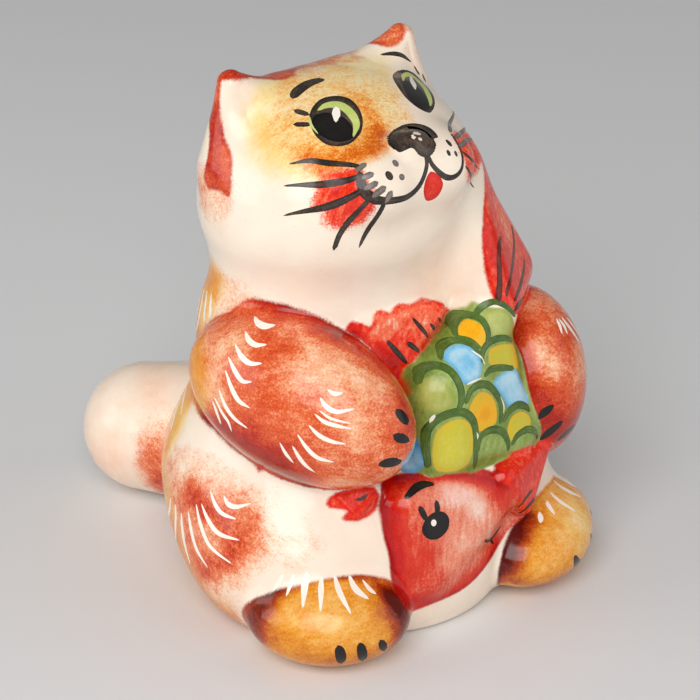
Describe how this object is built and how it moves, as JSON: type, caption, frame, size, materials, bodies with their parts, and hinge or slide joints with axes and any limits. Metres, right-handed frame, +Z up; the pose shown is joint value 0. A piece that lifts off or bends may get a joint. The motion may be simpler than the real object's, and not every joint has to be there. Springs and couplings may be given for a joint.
{
  "type": "souvenir figurine",
  "caption": "Hollow glazed earthenware figurine of a sitting cat that hugs a fish, standing on its flat underside as a shelf ornament.",
  "frame": {"origin": "middle of the flat underside that the figurine stands on", "axes": "+Z up through the head, -Y the way the cat faces, +X to the cat's left"},
  "size_m": [0.0823, 0.0985, 0.104],
  "materials": {
    "white_glaze": "gloss",
    "pink_glaze": "gloss",
    "russet_glaze": "gloss",
    "ochre_glaze": "gloss",
    "black_glaze": "gloss",
    "scale_glaze": "gloss",
    "red_glaze": "gloss"
  },
  "bodies": {
    "root": {"body_shell": "white_glaze", "head_shell": "white_glaze", "right_ear": "pink_glaze", "left_ear": "pink_glaze", "right_whisker_pad": "white_glaze", "left_whisker_pad": "white_glaze", "nose": "black_glaze", "right_arm": "russet_glaze", "left_arm": "russet_glaze", "right_foot": "ochre_glaze", "left_foot": "ochre_glaze", "tail": "pink_glaze", "fish_body": "scale_glaze", "fish_head": "red_glaze", "fish_tail_fin": "red_glaze", "fish_dorsal_fin": "red_glaze", "fish_ventral_fin": "red_glaze", "fish_pectoral_fin": "red_glaze"}
  },
  "joints": []
}
